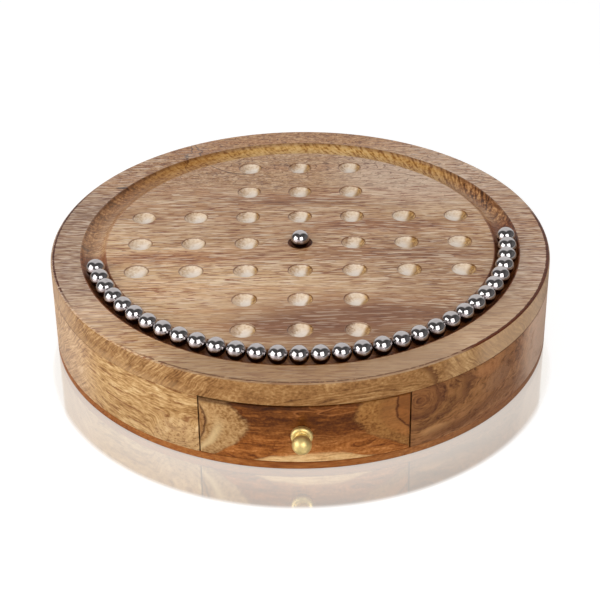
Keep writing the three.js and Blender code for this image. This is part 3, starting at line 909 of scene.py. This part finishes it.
def cut(piece, cutters):
    """Cuts the cutters out of a piece and removes them."""
    for cutter in cutters:
        modifier = piece.modifiers.new("cut", "BOOLEAN")
        modifier.operation = "DIFFERENCE"
        modifier.solver = "EXACT"
        modifier.object = cutter
    bpy.context.view_layer.update()
    evaluated = piece.evaluated_get(bpy.context.evaluated_depsgraph_get())
    old = piece.data
    piece.data = bpy.data.meshes.new_from_object(evaluated)
    piece.data.name = old.name
    piece.modifiers.clear()
    for cutter in cutters:
        bpy.data.objects.remove(cutter)
    return piece


def stand_for(piece, node, body):
    """Puts a piece in its CAD node's place."""
    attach(piece, body)
    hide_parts(node)
    return piece


def rectangle(low, high):
    return [(low[0], low[1]), (high[0], low[1]), (high[0], high[1]), (low[0], high[1])]


def block(low, high):
    """A plain block, used as a cutter."""
    shell = Shell()
    loops = [shell.loop([(*point, z) for point in rectangle(low, high)]) for z in (low[2], high[2])]
    shell.strips(loops)
    shell.mesh.faces.new(loops[0])
    shell.mesh.faces.new(loops[1])
    return shell.bare("cutter")


def upright(low, high, z):
    """Moves a piece that stands on its axis at zero to the middle of a node's box."""
    return Matrix.Translation(((low.x + high.x) / 2, (low.y + high.y) / 2, z))


def lying(low, high, y):
    """Lays a piece that stands on its axis down, so that it runs from Y to the front."""
    place = Matrix.Translation(((low.x + high.x) / 2, y, (low.z + high.z) / 2))
    return place @ Matrix.Rotation(math.pi / 2, 4, "X")


def rod(radius, start, end, place):
    """A plain round rod along Z, used as a cutter."""
    shell = Shell()
    shell.lathe([(0, start), (radius, start), (radius, end), (0, end)], SCREW_SIDES)
    return shell.bare("cutter", place=place)


# The case

def make_top_board(materials):
    """Turned top: round edge, flat rim, ball groove, and a deck with 33 dimples."""
    shell = Shell()
    groove = seat_profile(GROOVE_ROOM_RADIUS, GROOVE_DEPTH, GROOVE_LIP, 12)
    edge = arc((BOARD_RADIUS - TOP_EDGE_RADIUS, TOP_Z - TOP_EDGE_RADIUS), TOP_EDGE_RADIUS,
               0, math.pi / 2, 8)
    side = [
        (BOARD_RADIUS - SEAM_EASE, TOP_LOW.z),
        (BOARD_RADIUS, TOP_LOW.z + SEAM_EASE),
        (BOARD_RADIUS, TOP_LOW.z + 2 * SEAM_EASE),
        (BOARD_RADIUS, edge[0][1] - SEAM_EASE),
        *edge[:5],
    ]
    rim = [*edge[4:], (edge[-1][0] - LIP_SUPPORT, TOP_Z)]
    hollow = [(GROOVE_MIDDLE + away, TOP_Z - depth) for away, depth in reversed(groove)]
    hollow += [(GROOVE_MIDDLE - away, TOP_Z - depth) for away, depth in groove[1:]]

    def rings(profile):
        return [shell.ring(radius, z, ROUND_SIDES) for radius, z in profile]

    side_rings = rings(side)
    rim_rings = [side_rings[-1], *rings(rim[1:])]
    hollow_rings = rings(hollow)
    shell.strips(side_rings, 1)
    shell.strips([*rim_rings, hollow_rings[0]], 0)
    shell.strips(hollow_rings, 2)
    support = shell.ring(side[0][0] - LIP_SUPPORT, TOP_LOW.z, ROUND_SIDES)
    shell.strip(side_rings[0], support)
    shell.flat(support)

    bowl = seat_profile(DIMPLE_ROOM_RADIUS, DIMPLE_DEPTH, DIMPLE_LIP, 10)
    mouths = []
    for row in range(-3, 4):
        for column in range(-3, 4):
            if abs(row) > 1 and abs(column) > 1:
                continue
            centre = (column * HOLE_PITCH, row * HOLE_PITCH)
            loops = [shell.ring(away, TOP_Z - depth, DIMPLE_SIDES, centre) for away, depth in bowl[1:]]
            shell.strips(loops[:-1], 3)
            shell.strip(loops[-2], loops[-1], 0)
            shell.tip(loops[0], (*centre, TOP_Z - DIMPLE_DEPTH), 3)
            mouths.append(loops[-1])
    shell.flat(hollow_rings[-1], mouths, 0)
    piece = shell.bare("turned_top", [materials[key] for key in ("deck", "band", "groove", "dimple")])
    return stand_for(piece, "top_board", "case")


def front_angle(x):
    """Angle round Z of the board's edge on the drawer's side, at a given X."""
    return math.atan2(-math.sqrt(BOARD_RADIUS ** 2 - x ** 2), x)


def make_case_block(materials):
    """Block of the case, with the drawer's pocket and the pilot holes of the screws."""
    left, right = FRONT_LOW.x - POCKET_GAP, FRONT_HIGH.x + POCKET_GAP
    back = box_mm("drawer_back")[1].y + POCKET_GAP
    start, end = front_angle(right), front_angle(left) + 2 * math.pi
    inner = POCKET_CORNER
    outline = arc((0, 0), BOARD_RADIUS, start, end, ROUND_SIDES)
    outline += [(left, back - inner), (left, back), (left + inner, back)]
    outline += [(right - inner, back), (right, back), (right, back - inner)]
    shell = Shell()
    shell.prism(rounded(outline, CORNER_EASE), CASE_LOW.z, CASE_HIGH.z, SEAM_EASE)
    piece = shell.bare("case_block", [materials["case"]])
    pilots = []
    for node in SCREW_NODES:
        low, high = box_mm(node)
        pilots.append(rod(HOLE_RADIUS, CASE_LOW.z - 1, high.z + SCREW_GAP, upright(low, high, 0)))
    return stand_for(cut(piece, pilots), "case_body", "case")


def make_base_disc(materials):
    """Thin disc under the case, with a countersunk hole for each screw."""
    shell = Shell()
    edge = arc((BOARD_RADIUS - BASE_EASE, BASE_EASE), BASE_EASE, -math.pi / 2, 0, 5)
    profile = [(edge[0][0] - LIP_SUPPORT, 0.0), *edge, (BOARD_RADIUS, BASE_HIGH.z - SEAM_EASE),
               (BOARD_RADIUS - SEAM_EASE, BASE_HIGH.z)]
    loops = [shell.ring(radius, z, ROUND_SIDES) for radius, z in profile]
    shell.strips(loops)
    lower, upper = [], []
    for node in SCREW_NODES:
        low, high = box_mm(node)
        centre = ((low.x + high.x) / 2, (low.y + high.y) / 2)
        mouth = (high.x - low.x) / 2 + low.z + SCREW_GAP * math.sqrt(2)
        sizes = [(mouth + MOUTH_EASE, 0.0), (mouth - MOUTH_EASE, MOUTH_EASE),
                 (HOLE_RADIUS, mouth - HOLE_RADIUS), (HOLE_RADIUS, BASE_HIGH.z)]
        rings = [shell.ring(radius, z, SCREW_SIDES, centre) for radius, z in sizes]
        shell.strips(rings)
        lower.append(rings[0])
        upper.append(rings[-1])
    shell.flat(loops[0], lower)
    shell.flat(loops[-1], upper)
    piece = shell.bare("base_disc", [materials["base"]])
    return stand_for(piece, "base_panel", "case")


def cross_cutter(depth, reach, width, place):
    """Tapered cross that sinks a screw's recess from z = 0 towards +Z."""
    shell = Shell()
    rows = ((-0.5, 1.0), (0.0, 1.0), (depth * 0.6, 0.85), (depth, 0.45))
    loops = []
    for z, share in rows:
        long, short = reach / 2 * share, width / 2
        corner = [(long, -short), (long, short), (short, short)]
        outline = []
        for quarter in range(4):
            turn = Matrix.Rotation(quarter * math.pi / 2, 2)
            outline += [tuple(turn @ Vector(point)) for point in corner]
        loops.append(shell.loop([(*point, z) for point in outline]))
    shell.strips(loops)
    shell.mesh.faces.new(loops[0])
    shell.mesh.faces.new(loops[-1])
    return shell.bare("cutter", place=place)


def make_base_screws(materials):
    """Countersunk wood screws, each turned a little differently."""
    turns = random.Random(5)
    for number, node in enumerate(SCREW_NODES, 1):
        low, high = box_mm(node)
        head = (high.x - low.x) / 2
        length = high.z - low.z
        place = upright(low, high, low.z) @ Matrix.Rotation(turns.uniform(0, math.pi), 4, "Z")
        shell = Shell()
        shell.lathe([
            (0, 0), (head - 0.25, 0), (head, 0.12), (head, 0.3), (1.8, head - 1.55), (SHANK_RADIUS, head),
            (SHANK_RADIUS, length - 3), (0.3, length - 0.2), (0, length),
        ], SCREW_SIDES)
        piece = shell.bare(f"wood_screw_{number}", [materials["screw"]], place)
        cut(piece, [cross_cutter(1.5, 3.6, 0.95, place)])
        stand_for(piece, node, "case")


# The drawer

def make_drawer_face(materials):
    """Drawer front: its face continues the case's round side."""
    left, right = FRONT_LOW.x, FRONT_HIGH.x
    thickness = box_mm("drawer_side_left")[1].x - left + SEAM_EASE
    rebate = FRONT_HIGH.y - REBATE_DEPTH
    outline = arc((0, 0), BOARD_RADIUS, front_angle(left), front_angle(right), FRONT_STEPS)
    outline += [
        (right, rebate), (right - thickness, rebate), (right - thickness, FRONT_HIGH.y),
        (left + thickness, FRONT_HIGH.y), (left + thickness, rebate), (left, rebate),
    ]
    shell = Shell()
    shell.prism(rounded(outline, CORNER_EASE), FRONT_LOW.z, FRONT_HIGH.z, DRAWER_EASE)
    piece = shell.bare("drawer_face", [materials["front"]])
    low, high = box_mm("drawer_bottom")
    groove = block((left - 1, FRONT_HIGH.y - PANEL_GROOVE_DEPTH, low.z - PANEL_GAP),
                   (right + 1, FRONT_HIGH.y + 1, high.z + PANEL_GAP))
    hole = rod(HOLE_RADIUS, -30, 30, lying(KNOB_LOW, KNOB_HIGH, FRONT_HIGH.y))
    return stand_for(cut(piece, [groove, hole]), "drawer_front", "drawer")


def make_drawer_board(name, node, material, groove=None):
    """A straight board of the drawer in its CAD node's place."""
    low, high = box_mm(node)
    shell = Shell()
    shell.prism(rounded(rectangle(low, high), CORNER_EASE), low.z, high.z, DRAWER_EASE)
    piece = shell.bare(name, [material])
    if groove:
        cut(piece, [block(*groove)])
    return stand_for(piece, node, "drawer")


def make_drawer_box(materials):
    """Sides, back and bottom of the drawer."""
    panel_low, panel_high = box_mm("drawer_bottom")
    for hand, name in ((-1, "left"), (1, "right")):
        node = f"drawer_side_{name}"
        low, high = box_mm(node)
        mouth = low.x if hand > 0 else high.x
        start, end = sorted((mouth - hand, mouth + hand * PANEL_GROOVE_DEPTH))
        groove = ((start, low.y - 1, panel_low.z - PANEL_GAP), (end, high.y + 1, panel_high.z + PANEL_GAP))
        make_drawer_board(f"drawer_wall_{name}", node, materials["inside_y"], groove)
    make_drawer_board("drawer_wall_back", "drawer_back", materials["inside_x"])
    make_drawer_board("drawer_floor", "drawer_bottom", materials["inside_x"])


def make_knob(materials):
    """Turned brass knob: round flange, short neck and ball head."""
    length = KNOB_HIGH.y - KNOB_LOW.y
    flange = (KNOB_HIGH.x - KNOB_LOW.x) / 2
    head, neck, thick, edge = 4.6, 3.1, 2.8, 1.5
    bore, bore_depth = 2.05, 6.3
    start = math.acos(neck / head)
    shell = Shell()
    profile = [(0, bore_depth), (bore, bore_depth), (bore, 0), (flange - 0.2, 0), (flange, 0.2)]
    profile += arc((flange - edge, thick - edge), edge, 0, math.pi / 2, 8)
    profile += arc((neck + 0.5, thick + 0.5), 0.5, -math.pi / 2, -math.pi, 4)
    profile += arc((0, length - head), head, -start + 0.12, math.pi / 2, 32)
    shell.lathe(profile, KNOB_SIDES)
    piece = shell.bare("brass_knob", [materials["brass"]], lying(KNOB_LOW, KNOB_HIGH, KNOB_HIGH.y))
    return stand_for(piece, "knob", "drawer")


def make_knob_screw(materials):
    """Pan-head screw that holds the knob from inside the drawer."""
    low, high = box_mm("knob_screw")
    head = (high.x - low.x) / 2
    length = high.y - low.y
    place = lying(low, high, high.y)
    shell = Shell()
    profile = [(0, 0), (head * 0.55, 0.1), (head * 0.85, 0.55), (head - 0.05, 1.2), (head, 1.7),
               (head, 2.2), (SHANK_RADIUS, 2.2), (SHANK_RADIUS, length - 0.4), (1.4, length), (0, length)]
    shell.lathe(profile, SCREW_SIDES)
    piece = shell.bare("pan_head_screw", [materials["screw"]], place)
    cut(piece, [cross_cutter(1.4, 3.6, 0.95, place)])
    return stand_for(piece, "knob_screw", "drawer")


def make_balls(materials):
    """Polished balls, all from one mesh."""
    data = None
    for node in BALL_NODES:
        low, high = box_mm(node)
        if not data:
            shell = Shell()
            bmesh.ops.create_icosphere(shell.mesh, subdivisions=5, radius=BALL_RADIUS)
            piece = shell.bare(f"steel_{node}", [materials["ball"]])
            data = piece.data
        else:
            piece = show(f"steel_{node}", data)
        middle = (low + high) / 2
        piece.location = Vector((middle.x, middle.y, middle.z)) * MM
        stand_for(piece, node, node)


# Light, floor and camera

def make_camera():
    data = bpy.data.cameras.new("camera")
    data.lens = LENS_MM
    data.sensor_width = SENSOR_MM
    data.clip_start = 0.01
    data.clip_end = 20
    camera = show("camera", data)
    level = VIEW_DISTANCE * math.cos(VIEW_ELEVATION)
    offset = Vector((-level * math.sin(VIEW_YAW), -level * math.cos(VIEW_YAW),
                     VIEW_DISTANCE * math.sin(VIEW_ELEVATION)))
    aim = (-offset).to_track_quat("-Z", "Y").to_matrix().to_4x4()
    place = Matrix.Translation((VIEW_TARGET + offset) * MM)
    camera.matrix_world = place @ aim @ Matrix.Rotation(VIEW_ROLL, 4, "Z")
    bpy.context.scene.camera = camera


def make_lamps():
    """Two low softboxes in front of the board, the left one further round."""
    target = Vector((0, 0, 0.03))
    for name, azimuth, elevation, distance, size, power in (
        ("left_softbox", -62, 23, 0.9, (0.76, 0.62), 5.1),
        ("right_softbox", 20, 33, 0.95, (0.62, 0.66), 4.7),
    ):
        data = bpy.data.lights.new(name, "AREA")
        data.shape = "RECTANGLE"
        data.size, data.size_y = size
        data.energy = power
        turn, rise = math.radians(azimuth), math.radians(elevation)
        level = math.cos(rise)
        away = Vector((math.sin(turn) * level, -math.cos(turn) * level, math.sin(rise)))
        lamp = show(name, data)
        lamp.location = target + away * distance
        lamp.rotation_euler = (-away).to_track_quat("-Z", "Y").to_euler()


def make_world():
    """Studio that is white behind and above the board, and dark round the camera."""
    shader = Shader("studio", world=True)
    diffuse = shader.result("LightPath", output="Is Diffuse Ray")
    glossy = shader.result("LightPath", output="Is Glossy Ray")
    front = (shader.y - shader.x.abs()).step(-0.24, 0.1, 0.11, 1.0)
    behind = shader.y.step(-0.1, 0.35, 0.03, 0.8, "LINEAR")
    right = shader.x.step(0.4, 0.9, 0.0, 0.3, "LINEAR")
    lit = behind.at_least(right) * diffuse + (1 - diffuse)
    mirrored = front.at_least(right * 0.65)
    strength = mirrored * glossy + lit * (1 - glossy)
    shader.put(shader.add("Background", [(1, 1, 1, 1), strength]), shader.output.inputs[0])
    bpy.context.scene.world = shader.owner


def make_floor():
    """White sheet that mirrors the board near its foot, with a painted warm bounce light under it, and fades
    to plain white.
    """
    shader = Shader("white_sheet")
    radius = length(shader.x, shader.y + MIRROR_SHIFT)
    seen = shader.result("LightPath", output="Is Camera Ray")
    under = radius.step(BOARD_RADIUS + 1, BOARD_RADIUS - 3)
    near = shader.radius().step(BOARD_RADIUS + 24, BOARD_RADIUS)
    # Under the board the sheet's glow is tinted warm, a painted bounce light from the wood, and its own
    # shading is kept faint
    sheet = shader.mix(under, (174, 174, 174), (110, 106, 100))
    matt = shader.add("BsdfDiffuse", [shader.mix(seen, (230, 230, 230), sheet)])
    glow = shader.mix(under, (255, 255, 255), (255, 249, 241))
    strength = seen * (0.75 + under * 0.17 + radius.step(400, 1500) * 0.35)
    pale = shader.add("AddShader", [matt, shader.add("Emission", [glow, strength])])
    gloss = shader.add("BsdfGlossy")
    gloss.inputs["Roughness"].default_value = 0.08
    both = shader.add("MixShader", [under * (0.6 - near * 0.16), pale, gloss])
    below = shader.result("NewGeometry", output="Backfacing")
    travelled = shader.result("LightPath", output="Ray Length") / MM
    clear = (below + travelled.step(1.0, 0.9) * (1 - seen)).at_most(1.0)
    sheet_end = shader.add("MixShader", [clear, both, shader.add("BsdfTransparent")])
    shader.put(sheet_end, shader.output.inputs[0])

    bpy.ops.mesh.primitive_plane_add(size=12, location=(0, 0, -FLOOR_GAP * MM))
    floor = bpy.context.object
    floor.name = "floor"
    floor.data.materials.append(shader.owner)


make_camera()
finishes = {
    "deck": make_deck_wood(),
    "band": make_band_wood(),
    "groove": make_groove_wood(),
    "dimple": make_dimple_wood(),
    "case": make_case_wood(),
    "base": make_base_wood(),
    "front": make_drawer_front_wood(),
    "inside_x": make_drawer_wood("drawer_wood_across", 0),
    "inside_y": make_drawer_wood("drawer_wood_along", 1),
    "brass": make_brass(),
    "ball": make_ball_steel(),
    "screw": make_screw_steel(),
}
for make in (make_top_board, make_case_block, make_base_disc, make_base_screws, make_drawer_face,
             make_drawer_box, make_knob, make_knob_screw, make_balls):
    make(finishes)
make_floor()
make_world()
make_lamps()

bpy.context.scene.view_settings.view_transform = "Standard"
